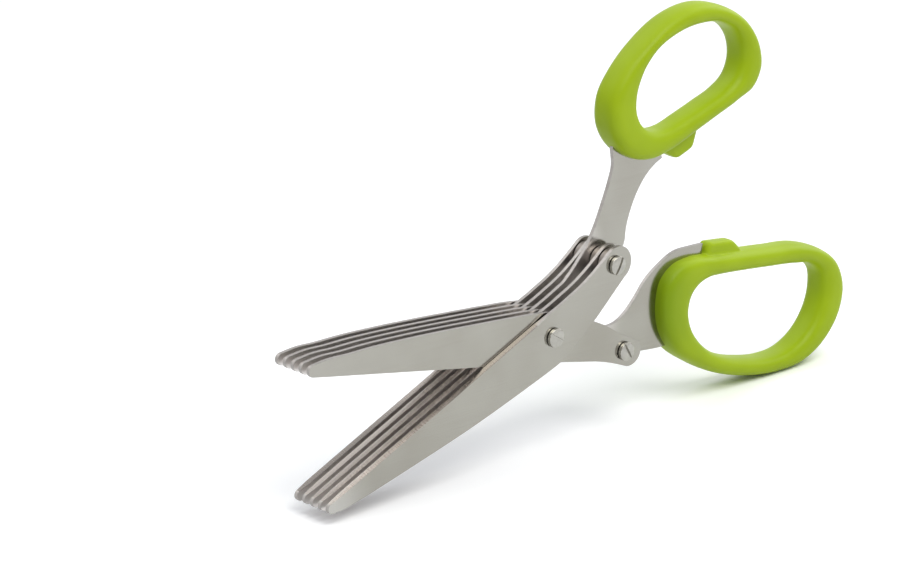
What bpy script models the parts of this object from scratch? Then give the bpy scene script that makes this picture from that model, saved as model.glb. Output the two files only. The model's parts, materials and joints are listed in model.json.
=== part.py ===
# Herb scissors: two arms of five parallel blades that pass between each other on one pivot
# screw, each arm with a moulded finger loop. Metres, +Z up.
#
# The scissors stand on edge and open, as on a worktop. The blades lie in upright planes, +Y
# runs through the stack from the front blade to the last one, and the ground at z = 0 touches
# the lower blade tips and the lower finger loop. The origin is below the middle of the whole.
#
# Each arm is drawn in its own frame: u runs from the pivot towards the handle, so the blade
# tip is at negative u, and v is positive on the arm's cutting side. Arm A carries the lower
# blades and the upper handle. Arm B is drawn the same way and turned over.

import math

import bmesh
import bpy
from mathutils import Matrix, Vector

for leftover in list(bpy.data.objects):
    bpy.data.objects.remove(leftover, do_unlink=True)

MM = 0.001

# The stack of blades
BLADES_PER_ARM = 5
PLATE_THICKNESS = 1.2 * MM
RUNNING_GAP = 0.5 * MM      # between a blade and its neighbour of the other arm
FIT_GAP = 0.3 * MM          # between pieces that are screwed or moulded together
SIDE_SHIFT = PLATE_THICKNESS + RUNNING_GAP
PLATE_STEP = 2 * SIDE_SHIFT

# How far each arm is turned up from level, in degrees. Their sum is the opening angle.
A_TURN = 20.05
B_TURN = 6.47

# Blades
BLADE_REACH = 88.0 * MM     # pivot to the start of the rounded tip
A_TIP_RADIUS = 1.55 * MM
B_TIP_RADIUS = 1.75 * MM
A_TIP_OVER = (0.35 * MM, -0.35 * MM)    # the tip's centre, past the reach and off the axis
B_TIP_OVER = (0.15 * MM, 0.15 * MM)
GRIND_FALL = 0.4 * MM       # how far the ground edge falls from one face to the other
EDGE_LAND = 0.2 * MM        # thickness left square at the cutting edge
GRIND_RUNOUT = 6.0 * MM
A_EDGE_RISE = 7.45 * MM     # cutting edge above the pivot
B_EDGE_RISE = 8.0 * MM
A_SPINE_DEPTH = 8.6 * MM    # deepest point of the blade's back below the pivot
B_SPINE_DEPTH = 7.2 * MM

# Tails, which the rear screws hold together
A_REAR_REACH = 28.4 * MM
A_REAR_RISE = 7.15 * MM
B_REAR_REACH = 30.8 * MM
B_REAR_RISE = 7.9 * MM
A_TAIL_RADIUS = 5.2 * MM
B_TAIL_RADIUS = 4.7 * MM
A_TAIL_OVER = (0.92 * MM, -0.07 * MM)   # from the screw to the centre of the rounded end
B_TAIL_OVER = (1.9 * MM, 0.2 * MM)
TAIL_ARC = (math.radians(-80), math.radians(98))

# Finger loops: where each starts along u, its length, its inner straight side and its height
GRIP_DEPTH = 11.0 * MM
A_LOOP_START = 42.5 * MM
A_LOOP_LENGTH = 63.3 * MM
A_LOOP_INNER = 24.8 * MM
A_LOOP_HEIGHT = 37.9 * MM
B_LOOP_START = 45.6 * MM
B_LOOP_LENGTH = 83.4 * MM
B_LOOP_INNER = -16.4 * MM
B_LOOP_HEIGHT = 40.6 * MM
SECTION_SIDES = 14

# Stop nubs, which meet where the closed arms' straight sides face each other
NUB_MEET = 20.05 * MM       # height of the meeting plane over the closed blades' axis
NUB_WIDTH = 4.8 * MM
NUB_ROUNDING = 1.3 * MM
NUB_ROOT = 2.5 * MM         # how deep the nub is rooted in the straight side
A_NUB_START = 61.0 * MM
A_NUB_LENGTH = 14.5 * MM
B_NUB_START = 66.9 * MM
B_NUB_LENGTH = 15.8 * MM

# Shanks, from the middle plate of each arm into its loop
A_SHANK_LIP = 1.8 * MM      # how far the steel stands out of the straight side
B_SHANK_LIP = 3.1 * MM
SHANK_WALL = 3.4 * MM       # plastic between the steel and the finger hole

# Screws and their sleeve nuts
HEAD_HEIGHT = 1.35 * MM
HEAD_EDGE = 0.9 * MM
PIVOT_HEAD_RADIUS = 2.85 * MM
REAR_HEAD_RADIUS = 2.8 * MM
PIVOT_SLEEVE_RADIUS = 2.2 * MM
REAR_SLEEVE_RADIUS = 1.7 * MM
SLEEVE_WALL = 0.6 * MM
NUT_FLANGE = 1.2 * MM
NUT_CHAMFER = 0.25 * MM
SLOT_WIDTH = 0.8 * MM
SLOT_DEPTH = 0.6 * MM
ROUND_SIDES = 32
A_SPACER_RADIUS = 4.5 * MM
B_SPACER_RADIUS = 4.0 * MM
OVERRUN = 1.0 * MM          # by which every cutter passes the faces it cuts

# Slot directions of the three screws as they happen to stand, in degrees from level
PIVOT_SLOT_TURN = -54.0
A_SLOT_TURN = 41.0
B_SLOT_TURN = -55.0

# Shares along the blade (of its reach) and across (of its spine depth), tip to pivot
A_SPINE_SHARES = [(0.965, 0.34), (0.90, 0.43), (0.757, 0.58), (0.64, 0.69), (0.53, 0.79),
                  (0.42, 0.875), (0.29, 0.94), (0.16, 0.98), (0.06, 1.0), (0.0, 0.985)]
B_SPINE_SHARES = [(0.945, 0.358), (0.856, 0.458), (0.775, 0.574), (0.62, 0.722),
                  (0.445, 0.836), (0.30, 0.907), (0.145, 0.975), (0.06, 1.0), (0.0, 0.978)]

# Shares along the tail (of the rear screw's reach) and of the rise to its rounded end
A_TAIL_TOP_SHARES = [(0.186, 0.041), (0.333, 0.110), (0.489, 0.197), (0.646, 0.362),
                     (0.822, 0.644)]
B_TAIL_TOP_SHARES = [(0.155, 0.08), (0.416, 0.25), (0.677, 0.43), (0.890, 0.72)]
A_TAIL_BACK_SHARES = [(0.274, 0.194), (0.538, 0.429), (0.773, 0.684)]
B_TAIL_BACK_SHARES = [(0.271, 0.114), (0.503, 0.381), (0.730, 0.632), (0.900, 0.883)]

# Shares of the way from the tail to the loop, for the shank's inner and outer side
A_SHANK_IN_SHARES = [(0.0, 0.0), (0.17, 0.10), (0.295, 0.23), (0.374, 0.432), (0.482, 0.626),
                     (0.604, 0.788), (0.752, 0.922), (0.91, 0.99), (1.0, 1.0)]
B_SHANK_IN_SHARES = [(0.0, 0.0), (0.070, -0.054), (0.127, -0.109), (0.159, -0.122),
                     (0.202, -0.110), (0.254, -0.064), (0.325, 0.058), (0.395, 0.243),
                     (0.487, 0.533), (0.583, 0.722), (0.733, 0.925), (0.896, 0.980), (1.0, 1.0)]
A_SHANK_OUT_SHARES = [(0.0, 0.0), (0.120, 0.050), (0.232, 0.108), (0.418, 0.220),
                      (0.574, 0.358), (0.720, 0.515), (0.850, 0.665), (0.955, 0.815), (1.0, 1.0)]
B_SHANK_OUT_SHARES = [(0.0, 0.0), (0.35, 0.40), (0.68, 0.60), (0.94, 0.45), (1.0, 0.33)]

# The loops: shares of the loop's length and height, first the outer outline, then the hole
A_LOOP_SHARES = [(0.308, 0.0, 0.350, 0.192), (0.466, 0.0, 0.466, 0.177),
                 (0.624, 0.0, 0.595, 0.169), (0.782, 0.0, 0.724, 0.169),
                 (0.905, 0.020, 0.806, 0.207), (0.977, 0.130, 0.855, 0.288),
                 (1.0, 0.314, 0.878, 0.411), (0.970, 0.530, 0.860, 0.564),
                 (0.870, 0.768, 0.787, 0.699), (0.725, 0.938, 0.668, 0.789),
                 (0.529, 1.0, 0.521, 0.836), (0.343, 0.952, 0.384, 0.822),
                 (0.168, 0.850, 0.286, 0.729), (0.047, 0.702, 0.226, 0.618),
                 (0.0, 0.505, 0.196, 0.490), (0.022, 0.298, 0.202, 0.372),
                 (0.092, 0.134, 0.238, 0.282), (0.190, 0.034, 0.288, 0.226)]
B_LOOP_SHARES = [(0.300, 0.0, 0.325, 0.173), (0.460, 0.0, 0.448, 0.165),
                 (0.604, 0.0, 0.580, 0.163), (0.750, 0.004, 0.724, 0.165),
                 (0.862, 0.066, 0.814, 0.184), (0.953, 0.180, 0.863, 0.256),
                 (1.003, 0.375, 0.879, 0.416), (0.994, 0.589, 0.862, 0.564),
                 (0.934, 0.786, 0.814, 0.712), (0.826, 0.941, 0.736, 0.818),
                 (0.676, 1.0, 0.640, 0.857), (0.506, 0.990, 0.520, 0.846),
                 (0.361, 0.933, 0.408, 0.806), (0.231, 0.830, 0.320, 0.740),
                 (0.116, 0.697, 0.249, 0.635), (0.045, 0.530, 0.204, 0.518),
                 (0.004, 0.320, 0.187, 0.400), (0.006, 0.140, 0.199, 0.292),
                 (0.056, 0.030, 0.236, 0.216), (0.162, 0.0, 0.278, 0.182)]
LOOP_STEPS = 3              # rings of the loop between two of these stations


class Arm:
    """The sizes of one arm, and how its drawing frame lies in the scissors."""

    def __init__(self, letter):
        first = letter == "a"
        self.letter = letter
        self.side = 1.0 if first else -1.0
        self.turn = math.radians(A_TURN if first else -B_TURN)
        self.shift = 0.0 if first else SIDE_SHIFT
        self.edge_rise = A_EDGE_RISE if first else B_EDGE_RISE
        self.spine_depth = A_SPINE_DEPTH if first else B_SPINE_DEPTH
        self.spine_shares = A_SPINE_SHARES if first else B_SPINE_SHARES
        self.tip_radius = A_TIP_RADIUS if first else B_TIP_RADIUS
        past, off = A_TIP_OVER if first else B_TIP_OVER
        self.tip_centre = Vector((-BLADE_REACH - past, off))
        self.spacer_radius = A_SPACER_RADIUS if first else B_SPACER_RADIUS
        self.rear_reach = A_REAR_REACH if first else B_REAR_REACH
        self.rear_rise = A_REAR_RISE if first else B_REAR_RISE
        self.tail_radius = A_TAIL_RADIUS if first else B_TAIL_RADIUS
        self.tail_top_shares = A_TAIL_TOP_SHARES if first else B_TAIL_TOP_SHARES
        self.tail_back_shares = A_TAIL_BACK_SHARES if first else B_TAIL_BACK_SHARES
        self.loop_start = A_LOOP_START if first else B_LOOP_START
        self.loop_length = A_LOOP_LENGTH if first else B_LOOP_LENGTH
        self.loop_inner = A_LOOP_INNER if first else B_LOOP_INNER
        self.loop_height = A_LOOP_HEIGHT if first else B_LOOP_HEIGHT
        self.loop_shares = A_LOOP_SHARES if first else B_LOOP_SHARES
        self.nub_start = A_NUB_START if first else B_NUB_START
        self.nub_length = A_NUB_LENGTH if first else B_NUB_LENGTH
        self.nub_top = (NUB_MEET + FIT_GAP / 2) if first else (FIT_GAP / 2 - NUB_MEET)
        self.shank_lip = A_SHANK_LIP if first else B_SHANK_LIP
        self.shank_in_shares = A_SHANK_IN_SHARES if first else B_SHANK_IN_SHARES
        self.shank_out_shares = A_SHANK_OUT_SHARES if first else B_SHANK_OUT_SHARES
        # stations of the loop that the shank's end follows inside, and where it enters outside
        self.tang_stations = (-1, -2, -3, -4) if first else (-1, -2, -3, -4, -5)
        self.tang_entry = -3 if first else -6
        self.slot_turn = math.radians(A_SLOT_TURN if first else B_SLOT_TURN)
        # the entry of the tail's outer side from which the shank runs on
        self.shank_branch = -3 if first else -2
        over = A_TAIL_OVER if first else B_TAIL_OVER
        self.tail_centre = Vector((self.rear_reach + over[0], self.rear_rise + over[1]))

    def plate_front(self, index):
        return self.shift + index * PLATE_STEP

    def front(self):
        return self.plate_front(0)

    def back(self):
        return self.plate_front(BLADES_PER_ARM - 1) + PLATE_THICKNESS

    def middle(self):
        return self.plate_front(BLADES_PER_ARM // 2) + PLATE_THICKNESS / 2


ARMS = [Arm("a"), Arm("b")]
STACK_BACK = ARMS[1].back()


def smooth_curve(points, steps, closed=False):
    """A cubic curve through the points, with knots spaced by their distances."""
    count = len(points)
    points = [Vector(p) for p in points]
    tangents = []
    for i in range(count):
        before = points[i - 1] if closed or i > 0 else None
        after = points[(i + 1) % count] if closed or i < count - 1 else None
        if before is None:
            tangents.append((after - points[i]).normalized())
        elif after is None:
            tangents.append((points[i] - before).normalized())
        else:
            back_run = (points[i] - before).length
            front_run = (after - points[i]).length
            back_slope = (points[i] - before) / back_run
            front_slope = (after - points[i]) / front_run
            blend = back_slope * front_run + front_slope * back_run
            tangents.append(blend / (back_run + front_run))
    curve = []
    for i in range(count if closed else count - 1):
        start, end = points[i], points[(i + 1) % count]
        run = (end - start).length
        for k in range(steps):
            t = k / steps
            ease = t * t * (3 - 2 * t)
            lead = t * (1 - t) * (1 - t)
            trail = t * t * (t - 1)
            point = start * (1 - ease) + end * ease
            curve.append(point + tangents[i] * run * lead + tangents[(i + 1) % count] * run * trail)
    if not closed:
        curve.append(points[-1])
    return curve


def arc(centre, radius, start, end, steps):
    """Points on a circular arc, both ends included."""
    angles = [start + (end - start) * k / steps for k in range(steps + 1)]
    return [centre + Vector((math.cos(a), math.sin(a))) * radius for a in angles]


def grow_outline(points, distance):
    """The closed outline moved outwards by a distance; points run counter-clockwise."""
    grown = []
    count = len(points)
    for i, point in enumerate(points):
        along = (point - points[i - 1]).normalized() + (points[(i + 1) % count] - point).normalized()
        along.normalize()
        grown.append(point + Vector((along.y, -along.x)) * distance)
    return grown


def loop_point(arm, share_u, share_v):
    return Vector((arm.loop_start + share_u * arm.loop_length,
                   arm.loop_inner + share_v * arm.loop_height))


def tail_back(arm):
    """The tail's inner side, from the blade's spine at the pivot towards the rounded end."""
    low = -arm.spine_depth * arm.spine_shares[-1][1]
    high = arm.tail_centre.y - arm.tail_radius
    return [Vector((arm.rear_reach * a, low + (high - low) * b)) for a, b in arm.tail_back_shares]


def tail_top(arm):
    """The tail's outer side, from the cutting edge at the pivot towards the rounded end."""
    high = arm.tail_centre.y + arm.tail_radius
    return [Vector((arm.rear_reach * a, arm.edge_rise + (high - arm.edge_rise) * b))
            for a, b in arm.tail_top_shares]


def tang_inside(arm):
    """The end of the shank inside the loop, kept clear of the finger hole."""
    holes = [loop_point(arm, s[2], s[3]) for s in arm.loop_shares]
    outers = [loop_point(arm, s[0], s[1]) for s in arm.loop_shares]
    inside = []
    for i in arm.tang_stations:
        inwards = (outers[i] - holes[i]).normalized()
        inside.append(holes[i] + inwards * SHANK_WALL)
    return inside


def shank_outline(arm):
    """The shank from the tail to its end inside the loop, inner side first."""
    inner_root = tail_back(arm)[-2]
    if arm.side > 0:
        inner_root = arm.tail_centre - Vector((0, arm.tail_radius))
    inner_end = Vector((arm.nub_start - FIT_GAP, arm.loop_inner - arm.shank_lip))
    outer_root = tail_top(arm)[arm.shank_branch]
    entry = arm.loop_shares[arm.tang_entry]
    outer_end = loop_point(arm, entry[0], entry[1])

    def side(root, end, shares):
        return [Vector((root.x + (end.x - root.x) * a, root.y + (end.y - root.y) * b))
                for a, b in shares]

    inner = smooth_curve(side(inner_root, inner_end, arm.shank_in_shares), 2)
    outer = smooth_curve(side(outer_root, outer_end, arm.shank_out_shares), 2)
    corner = Vector((inner_end.x, arm.loop_inner + SHANK_WALL))
    return inner + [corner] + smooth_curve(tang_inside(arm), 2) + outer[::-1]


def plate_outline(arm, with_shank):
    """Outline of one blade plate, counter-clockwise, and how far each point is ground back."""
    tip = arc(arm.tip_centre, arm.tip_radius, math.radians(95), math.radians(262), 7)
    spine = [Vector((-BLADE_REACH * a, -arm.spine_depth * b)) for a, b in arm.spine_shares]
    inner = tail_back(arm)
    if with_shank and arm.side < 0:
        inner = inner[:-2]
    back = smooth_curve([tip[-1]] + spine + inner, 2)
    if with_shank:
        end = shank_outline(arm)
        top = tail_top(arm)[:arm.shank_branch]
    else:
        end = arc(arm.tail_centre, arm.tail_radius, TAIL_ARC[0], TAIL_ARC[1], 12)
        top = tail_top(arm)
    heel = Vector((0, arm.edge_rise))
    top = smooth_curve([end[-1]] + top[::-1] + [heel], 2)
    edge = [heel.lerp(tip[0], k / 12) for k in range(1, 12)]
    points = tip + back[1:] + end + top[1:] + edge
    ground = {}
    for point in edge + tip[:2]:
        run = min(heel.x - point.x, point.x - arm.tip_centre.x + arm.tip_radius) / GRIND_RUNOUT
        run = max(0.0, min(1.0, run))
        ground[tuple(point)] = run * run * (3 - 2 * run)
    return points, [ground.get(tuple(p), 0.0) for p in points]


def new_object(name, mesh, colour, roughness, metallic, parent=None):
    material = bpy.data.materials.new(name)
    material.use_nodes = True
    shader = material.node_tree.nodes["Principled BSDF"]
    shader.inputs["Base Color"].default_value = (*colour, 1.0)
    shader.inputs["Roughness"].default_value = roughness
    shader.inputs["Metallic"].default_value = metallic
    mesh.materials.clear()
    mesh.materials.append(material)
    thing = bpy.data.objects.new(name, mesh)
    bpy.context.scene.collection.objects.link(thing)
    thing.parent = parent
    return thing


def mesh_of(builder, name, sharp_angle=math.radians(32)):
    """Turns a bmesh into a mesh with faces pointing out and smooth round sides."""
    bmesh.ops.recalc_face_normals(builder, faces=builder.faces)
    mesh = bpy.data.meshes.new(name)
    builder.to_mesh(mesh)
    builder.free()
    mesh.shade_smooth()
    mesh.set_sharp_from_angle(angle=sharp_angle)
    return mesh


def stacked_rings(rings, closed_ends=True):
    """A solid skinned over rings of equal point counts."""
    builder = bmesh.new()
    loops = [[builder.verts.new(p) for p in ring] for ring in rings]
    count = len(rings[0])
    for low, high in zip(loops, loops[1:]):
        for i in range(count):
            builder.faces.new((low[i], low[(i + 1) % count], high[(i + 1) % count], high[i]))
    if closed_ends:
        builder.faces.new(loops[0])
        builder.faces.new(loops[-1])
    else:
        for i in range(count):
            low, high = loops[-1], loops[0]
            builder.faces.new((low[i], low[(i + 1) % count], high[(i + 1) % count], high[i]))
    return builder


def plate_mesh(arm, with_shank):
    """A flat plate with its cutting edge ground on one face: arm A's in front, B's behind."""
    points, ground = plate_outline(arm, with_shank)
    count = len(points)
    ground_ring = []
    for i, point in enumerate(points):
        along = (point - points[i - 1]).normalized() + (points[(i + 1) % count] - point).normalized()
        along.normalize()
        inwards = Vector((-along.y, along.x))
        ground_ring.append(point + inwards * GRIND_FALL * ground[i])
    ground_face, flat_face = 0.0, PLATE_THICKNESS
    land = PLATE_THICKNESS - EDGE_LAND
    if arm.side < 0:
        ground_face, flat_face, land = PLATE_THICKNESS, 0.0, EDGE_LAND
    rings = [[(p.x, ground_face, arm.side * p.y) for p in ground_ring],
             [(p.x, land, arm.side * p.y) for p in points],
             [(p.x, flat_face, arm.side * p.y) for p in points]]
    return mesh_of(stacked_rings(rings), "plate_" + arm.letter)


def turned_mesh(name, profile):
    """A solid of revolution about Y; the profile is a closed list of (y, radius) pairs."""
    builder = bmesh.new()
    rings = []
    for k in range(ROUND_SIDES):
        angle = 2 * math.pi * (k + 0.25) / ROUND_SIDES
        ring = []
        for y, radius in profile:
            on_axis = radius == 0.0
            if on_axis and k > 0:
                ring.append(rings[0][len(ring)])
            else:
                ring.append(builder.verts.new((radius * math.cos(angle), y, radius * math.sin(angle))))
        rings.append(ring)
    count = len(profile)
    for k in range(ROUND_SIDES):
        here, there = rings[k], rings[(k + 1) % ROUND_SIDES]
        for i in range(count):
            j = (i + 1) % count
            corners = []
            for vertex in (here[i], here[j], there[j], there[i]):
                if vertex not in corners:
                    corners.append(vertex)
            if len(corners) > 2:
                builder.faces.new(corners)
    return mesh_of(builder, name)


def add_cut(thing, cutter, operation="DIFFERENCE"):
    cut = thing.modifiers.new(cutter.name, "BOOLEAN")
    cut.operation = operation
    cut.solver = "EXACT"
    cut.object = cutter


def add_cutter(name, mesh, parent, place=(0.0, 0.0, 0.0)):
    cutter = new_object(name, mesh, (1.0, 0.2, 0.2), 1.0, 0.0, parent)
    cutter.location = place
    cutter.hide_render = True
    cutter.display_type = "WIRE"
    return cutter


def loop_mesh(arm):
    """The finger loop: elliptical sections carried round between the outer and hole outlines."""
    stations = [tuple(loop_point(arm, s[0], s[1])) + tuple(loop_point(arm, s[2], s[3]))
                for s in arm.loop_shares]
    outers = smooth_curve([s[:2] for s in stations], LOOP_STEPS, closed=True)
    holes = smooth_curve([s[2:] for s in stations], LOOP_STEPS, closed=True)
    rings = []
    for outer, hole in zip(outers, holes):
        centre = (outer + hole) / 2
        reach = (outer - hole) / 2
        ring = []
        for k in range(SECTION_SIDES):
            angle = 2 * math.pi * (k + 0.5) / SECTION_SIDES
            point = centre + reach * math.cos(angle)
            ring.append((point.x, arm.middle() + GRIP_DEPTH / 2 * math.sin(angle), arm.side * point.y))
        rings.append(ring)
    return mesh_of(stacked_rings(rings, closed_ends=False), "loop_" + arm.letter, math.radians(60))


def nub_mesh(arm):
    """The stop nub: a rounded block rooted in the loop's straight side."""
    rise = arm.nub_top - arm.loop_inner
    start, end = arm.nub_start, arm.nub_start + arm.nub_length
    near_slope, far_slope = (-rise * 0.9, -rise * 0.8) if arm.side > 0 else (-rise * 0.25, -rise * 1.3)
    outline = [(start, arm.loop_inner + NUB_ROOT), (start, arm.loop_inner),
               (start + near_slope, arm.nub_top), (end - far_slope, arm.nub_top),
               (end, arm.loop_inner), (end, arm.loop_inner + NUB_ROOT)]
    front, back = arm.middle() - NUB_WIDTH / 2, arm.middle() + NUB_WIDTH / 2
    rings = [[(u, y, arm.side * v) for u, v in outline] for y in (front, back)]
    builder = stacked_rings(rings)
    bmesh.ops.recalc_face_normals(builder, faces=builder.faces)
    root = arm.side * (arm.loop_inner + NUB_ROOT)
    edges = [e for e in builder.edges
             if len(e.link_faces) == 2 and e.calc_face_angle() > math.radians(20)
             and not all(abs(v.co.z - root) < NUB_ROUNDING for v in e.verts)]
    bmesh.ops.bevel(builder, geom=edges, offset=NUB_ROUNDING, segments=3, affect="EDGES", profile=0.5)
    return mesh_of(builder, "nub_" + arm.letter)


def shank_pocket_mesh(arm):
    """The pocket that the shank fills in the loop, grown by the fit gap."""
    outline = grow_outline(shank_outline(arm), FIT_GAP)
    half = PLATE_THICKNESS / 2 + FIT_GAP
    rings = [[(p.x, y, arm.side * p.y) for p in outline]
             for y in (arm.middle() - half, arm.middle() + half)]
    return mesh_of(stacked_rings(rings), "pocket_" + arm.letter)


def screw_and_nut(name, parent, place, head_radius, sleeve_radius, front, back, slot_turn):
    """A slotted screw from the front into a flanged sleeve nut from the back."""
    under = front - FIT_GAP
    bore = sleeve_radius - SLEEVE_WALL
    thread = bore - FIT_GAP
    floor = back - NUT_FLANGE
    dome = [(under - HEAD_EDGE - (HEAD_HEIGHT - HEAD_EDGE) * math.sin(a), head_radius * math.cos(a))
            for a in (math.radians(d) for d in (0, 22, 45, 65, 90))]
    dome[-1] = (under - HEAD_HEIGHT, 0.0)
    tip = floor - FIT_GAP
    profile = [(tip, 0.0), (tip, thread), (under, thread), (under, head_radius)] + dome
    screw = new_object(name + "_screw", turned_mesh(name + "_screw", profile),
                       STEEL_BRIGHT, 0.2, 1.0, parent)
    screw.location = place
    slot = bmesh.new()
    size = Vector((2 * head_radius + OVERRUN, 2 * SLOT_DEPTH, SLOT_WIDTH))
    at = Matrix.Translation((0.0, under - HEAD_HEIGHT, 0.0)) @ Matrix.Rotation(-slot_turn, 4, "Y")
    bmesh.ops.create_cube(slot, size=1.0, matrix=at @ Matrix.Diagonal((*size, 1.0)))
    add_cut(screw, add_cutter(name + "_slot_cutter", mesh_of(slot, name + "_slot"), parent, place))

    seat = back + FIT_GAP
    end = seat + NUT_FLANGE
    flange = head_radius
    profile = [(front, bore), (front, sleeve_radius), (seat, sleeve_radius), (seat, flange),
               (end - NUT_CHAMFER, flange), (end, flange - NUT_CHAMFER), (end, 0.0),
               (floor, 0.0), (floor, bore)]
    nut = new_object(name + "_nut", turned_mesh(name + "_nut", profile),
                     STEEL_BRIGHT, 0.25, 1.0, parent)
    nut.location = place


STEEL = (0.62, 0.61, 0.58)
STEEL_BRIGHT = (0.72, 0.71, 0.69)
GREEN = (0.34, 0.52, 0.03)

pivots = []
for arm in ARMS:
    pivot = bpy.data.objects.new("pivot_" + arm.letter, None)
    bpy.context.scene.collection.objects.link(pivot)
    pivot.rotation_euler = (0.0, -arm.turn, 0.0)
    pivots.append(pivot)

for arm, pivot in zip(ARMS, pivots):
    rear = Vector((arm.rear_reach, 0.0, arm.side * arm.rear_rise))
    stack = arm.back() + OVERRUN
    bore_run = [(-OVERRUN, 0.0), (-OVERRUN, PIVOT_SLEEVE_RADIUS + FIT_GAP),
                (STACK_BACK + OVERRUN, PIVOT_SLEEVE_RADIUS + FIT_GAP), (STACK_BACK + OVERRUN, 0.0)]
    pivot_cutter = add_cutter("pivot_hole_cutter_" + arm.letter,
                              turned_mesh("pivot_hole", bore_run), pivot)
    bore_run = [(y, min(radius, REAR_SLEEVE_RADIUS + FIT_GAP)) for y, radius in bore_run]
    rear_cutter = add_cutter("rear_hole_cutter_" + arm.letter,
                             turned_mesh("rear_hole", bore_run), pivot, rear)

    # The blades, with the middle plate of the arm running on into the shank
    for index in range(BLADES_PER_ARM):
        with_shank = index == BLADES_PER_ARM // 2
        blade = new_object(f"blade_{arm.letter}{index + 1}", plate_mesh(arm, with_shank),
                           STEEL, 0.3, 1.0, pivot)
        blade.location = (0.0, arm.plate_front(index), 0.0)
        add_cut(blade, pivot_cutter)
        add_cut(blade, rear_cutter)

    # The spacers between the tails, on the rear screw's sleeve
    bore = REAR_SLEEVE_RADIUS + FIT_GAP
    length = PLATE_STEP - PLATE_THICKNESS - 2 * FIT_GAP
    ring = [(0.0, bore), (0.0, arm.spacer_radius), (length, arm.spacer_radius), (length, bore)]
    for index in range(BLADES_PER_ARM - 1):
        spacer = new_object(f"spacer_{arm.letter}{index + 1}",
                            turned_mesh("spacer_" + arm.letter, ring), STEEL_BRIGHT, 0.3, 1.0, pivot)
        seat = arm.plate_front(index) + PLATE_THICKNESS + FIT_GAP
        spacer.location = rear + Vector((0.0, seat, 0.0))

    screw_and_nut("rear_" + arm.letter, pivot, rear, REAR_HEAD_RADIUS, REAR_SLEEVE_RADIUS,
                  arm.front(), arm.back(), arm.slot_turn)

    # The handle: loop, nub and the pocket for the shank
    handle = new_object("handle_" + arm.letter, loop_mesh(arm), GREEN, 0.35, 0.0, pivot)
    add_cut(handle, add_cutter("nub_" + arm.letter, nub_mesh(arm), pivot), "UNION")
    add_cut(handle, add_cutter("shank_pocket_cutter_" + arm.letter, shank_pocket_mesh(arm), pivot))

screw_and_nut("pivot", pivots[0], Vector((0.0, 0.0, 0.0)), PIVOT_HEAD_RADIUS, PIVOT_SLEEVE_RADIUS,
              ARMS[0].front(), STACK_BACK, math.radians(PIVOT_SLOT_TURN))


def stand_on_ground():
    """Moves both arms together, so that the whole stands on z = 0, centred over the origin."""
    bpy.context.view_layer.update()
    shown = bpy.context.evaluated_depsgraph_get()
    corners = []
    for thing in bpy.context.scene.objects:
        if thing.type == "MESH" and not thing.hide_render:
            solid = thing.evaluated_get(shown)
            corners += [thing.matrix_world @ v.co for v in solid.data.vertices]
    low = Vector([min(c[i] for c in corners) for i in range(3)])
    high = Vector([max(c[i] for c in corners) for i in range(3)])
    for pivot in pivots:
        pivot.location = (-(low.x + high.x) / 2, -(low.y + high.y) / 2, -low.z)
    bpy.context.view_layer.update()
    print("size in mm", [round(s / MM, 2) for s in high - low])
    print("pivot in mm", [round(c / MM, 3) for c in pivots[0].location])


stand_on_ground()
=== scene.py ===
import json
import math

import bmesh
import bpy
import numpy as np
from mathutils import Matrix, Vector
from mathutils.geometry import tessellate_polygon


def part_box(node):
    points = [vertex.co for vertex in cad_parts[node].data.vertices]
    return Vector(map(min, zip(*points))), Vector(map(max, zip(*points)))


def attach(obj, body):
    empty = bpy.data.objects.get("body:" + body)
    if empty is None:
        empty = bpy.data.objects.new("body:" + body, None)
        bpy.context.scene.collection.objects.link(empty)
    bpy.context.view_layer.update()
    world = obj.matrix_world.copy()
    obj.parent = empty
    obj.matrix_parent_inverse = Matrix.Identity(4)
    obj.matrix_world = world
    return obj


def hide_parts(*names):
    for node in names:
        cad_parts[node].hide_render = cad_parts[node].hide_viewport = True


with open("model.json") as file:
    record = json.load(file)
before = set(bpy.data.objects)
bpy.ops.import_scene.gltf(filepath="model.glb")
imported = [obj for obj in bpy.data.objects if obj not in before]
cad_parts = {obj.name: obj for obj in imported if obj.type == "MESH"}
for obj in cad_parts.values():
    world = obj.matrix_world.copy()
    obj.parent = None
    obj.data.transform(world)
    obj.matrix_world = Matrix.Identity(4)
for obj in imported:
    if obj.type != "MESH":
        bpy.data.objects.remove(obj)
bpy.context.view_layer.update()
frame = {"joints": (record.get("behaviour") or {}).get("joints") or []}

# Herb scissors: two arms of five ground steel blades each, which pass between each other on
# one pivot screw, with moulded finger loops. Metres, +Z up, in the frame of the CAD model.
# The steel and the plastic are made again here with fine edges, smooth rounds and finishes.

mm = 0.001

stack = dict(
    pivot=Vector(frame["joints"][0]["pos_m"]),
    front=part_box("blade_a1")[0].y,     # front face of the first blade
    plates=5,
    thickness=1.2 * mm,
    step=3.4 * mm,                     # from one blade of an arm to its next
    shift=1.7 * mm,                    # arm B's blades lie this far behind arm A's
    fit=0.3 * mm,                      # between pieces that are screwed or moulded together
    pivotSleeve=2.2 * mm,              # outer radius of the sleeve that a screw turns in
    rearSleeve=1.7 * mm,
)

# Each arm is drawn in its own coordinates (u, v), u from the pivot towards the handle and v
# positive on the cutting side. turn is how far it is turned up from level, in degrees, and
# side is -1 for the arm that is drawn turned over. The lists of shares are outline points as
# fractions of the length and the rise between two known places:
# - spineShares: the blade's back, from the tip to the pivot
# - tailTopShares, tailBackShares: the two sides of the tail, from the pivot to the rear screw
# - shankInShares, shankOutShares: the two sides of the shank, from the tail to the loop
# - loopShares: round the finger loop, its outer outline and then its hole
# branch, entry and tang say which of these points the shank leaves from, where it comes into
# the loop and which of the loop's stations its hidden end follows.

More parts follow.
